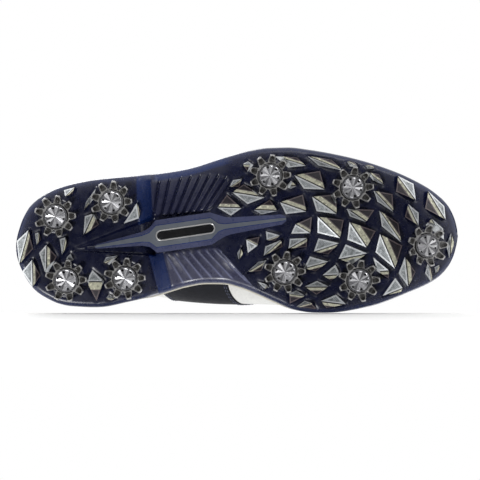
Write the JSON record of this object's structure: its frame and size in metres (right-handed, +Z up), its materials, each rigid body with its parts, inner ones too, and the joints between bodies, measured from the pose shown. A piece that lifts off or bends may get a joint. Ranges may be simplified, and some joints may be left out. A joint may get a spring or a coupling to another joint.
{
  "type": "golf shoe",
  "caption": "Right lace-up golf shoe with a saddle upper, a lugged moulded outsole, a ribbed raised arch with a stiffening bridge, and removable soft cleats.",
  "frame": {"origin": "on the ground under the middle of the shoe's bounding box, with the shoe standing on its cleats", "axes": "+X to the toe, +Y to the inner (medial) side, +Z up"},
  "size_m": [0.2963, 0.113, 0.1257],
  "materials": {
    "navy_tpu": "smooth navy moulded polyurethane",
    "lug_rubber": "silver-grey moulded rubber with cream crests",
    "bright_trim": "bright plated plastic",
    "badge_black": "glossy black",
    "midsole_foam": "cream-white foam",
    "steel": "plain spring steel strip",
    "welt": "cream-white with stitching",
    "board": "fibre board",
    "sockliner_foam": "grey knitted top cloth on foam",
    "stiffener": "thermoplastic stiffener sheet",
    "lining_textile": "grey mesh lining",
    "collar_textile": "padded grey collar cloth",
    "white_leather": "full-grain white leather, semi-gloss",
    "navy_leather": "near-black navy leather, semi-gloss",
    "lace_cord": "flat woven white lace",
    "receptacle_nylon": "dark nylon",
    "cleat_plastic": "smoky translucent polyurethane"
  },
  "bodies": {
    "shoe": {"outsole": "navy_tpu", "forefoot_lug_plate": "lug_rubber", "heel_lug_plate": "lug_rubber", "shank_bridge": "lug_rubber", "badge_bezel": "bright_trim", "badge_plate": "badge_black", "midsole": "midsole_foam", "shank_plate": "steel", "welt": "welt", "insole_board": "board", "sockliner": "sockliner_foam", "heel_counter": "stiffener", "toe_puff": "stiffener", "lining": "lining_textile", "collar_padding": "collar_textile", "backstay": "white_leather", "outer_quarter": "white_leather", "inner_quarter": "white_leather", "outer_saddle": "navy_leather", "inner_saddle": "navy_leather", "vamp": "white_leather", "tongue": "white_leather", "lace": "lace_cord", "heel_outer_rear_receptacle": "receptacle_nylon", "heel_inner_rear_receptacle": "receptacle_nylon", "heel_outer_front_receptacle": "receptacle_nylon", "heel_inner_front_receptacle": "receptacle_nylon", "ball_outer_rear_receptacle": "receptacle_nylon", "ball_inner_rear_receptacle": "receptacle_nylon", "ball_outer_front_receptacle": "receptacle_nylon", "ball_inner_front_receptacle": "receptacle_nylon", "toe_receptacle": "receptacle_nylon"},
    "heel_outer_rear_spike": {"heel_outer_rear_cleat": "cleat_plastic", "heel_outer_rear_cleat_disc": "bright_trim"},
    "heel_inner_rear_spike": {"heel_inner_rear_cleat": "cleat_plastic", "heel_inner_rear_cleat_disc": "bright_trim"},
    "heel_outer_front_spike": {"heel_outer_front_cleat": "cleat_plastic", "heel_outer_front_cleat_disc": "bright_trim"},
    "heel_inner_front_spike": {"heel_inner_front_cleat": "cleat_plastic", "heel_inner_front_cleat_disc": "bright_trim"},
    "ball_outer_rear_spike": {"ball_outer_rear_cleat": "cleat_plastic", "ball_outer_rear_cleat_disc": "bright_trim"},
    "ball_inner_rear_spike": {"ball_inner_rear_cleat": "cleat_plastic", "ball_inner_rear_cleat_disc": "bright_trim"},
    "ball_outer_front_spike": {"ball_outer_front_cleat": "cleat_plastic", "ball_outer_front_cleat_disc": "bright_trim"},
    "ball_inner_front_spike": {"ball_inner_front_cleat": "cleat_plastic", "ball_inner_front_cleat_disc": "bright_trim"},
    "toe_spike": {"toe_cleat": "cleat_plastic", "toe_cleat_disc": "bright_trim"}
  },
  "joints": [
    {"name": "heel_outer_rear_cleat_twist", "type": "hinge", "parent": "shoe", "child": "heel_outer_rear_spike", "pos_m": [-0.1198, -0.0163, 0.006], "axis": [0, 0, -1], "range_deg": [0, 60]},
    {"name": "heel_inner_rear_cleat_twist", "type": "hinge", "parent": "shoe", "child": "heel_inner_rear_spike", "pos_m": [-0.1147, 0.0263, 0.006], "axis": [0, 0, -1], "range_deg": [0, 60]},
    {"name": "heel_outer_front_cleat_twist", "type": "hinge", "parent": "shoe", "child": "heel_outer_front_spike", "pos_m": [-0.0823, -0.0242, 0.006], "axis": [0, 0, -1], "range_deg": [0, 60]},
    {"name": "heel_inner_front_cleat_twist", "type": "hinge", "parent": "shoe", "child": "heel_inner_front_spike", "pos_m": [-0.0758, 0.0268, 0.006], "axis": [0, 0, -1], "range_deg": [0, 60]},
    {"name": "ball_outer_rear_cleat_twist", "type": "hinge", "parent": "shoe", "child": "ball_outer_rear_spike", "pos_m": [0.0234, -0.0369, 0.006], "axis": [0, 0, -1], "range_deg": [0, 60]},
    {"name": "ball_inner_rear_cleat_twist", "type": "hinge", "parent": "shoe", "child": "ball_inner_rear_spike", "pos_m": [0.0302, 0.0273, 0.006], "axis": [0, 0, -1], "range_deg": [0, 60]},
    {"name": "ball_outer_front_cleat_twist", "type": "hinge", "parent": "shoe", "child": "ball_outer_front_spike", "pos_m": [0.0777, -0.0265, 0.006], "axis": [0, 0, -1], "range_deg": [0, 60]},
    {"name": "ball_inner_front_cleat_twist", "type": "hinge", "parent": "shoe", "child": "ball_inner_front_spike", "pos_m": [0.0791, 0.0353, 0.006], "axis": [0, 0, -1], "range_deg": [0, 60]},
    {"name": "toe_cleat_twist", "type": "hinge", "parent": "shoe", "child": "toe_spike", "pos_m": [0.1252, 0.0141, 0.00997], "axis": [0.1757, 0, -0.9845], "range_deg": [0, 60]}
  ]
}
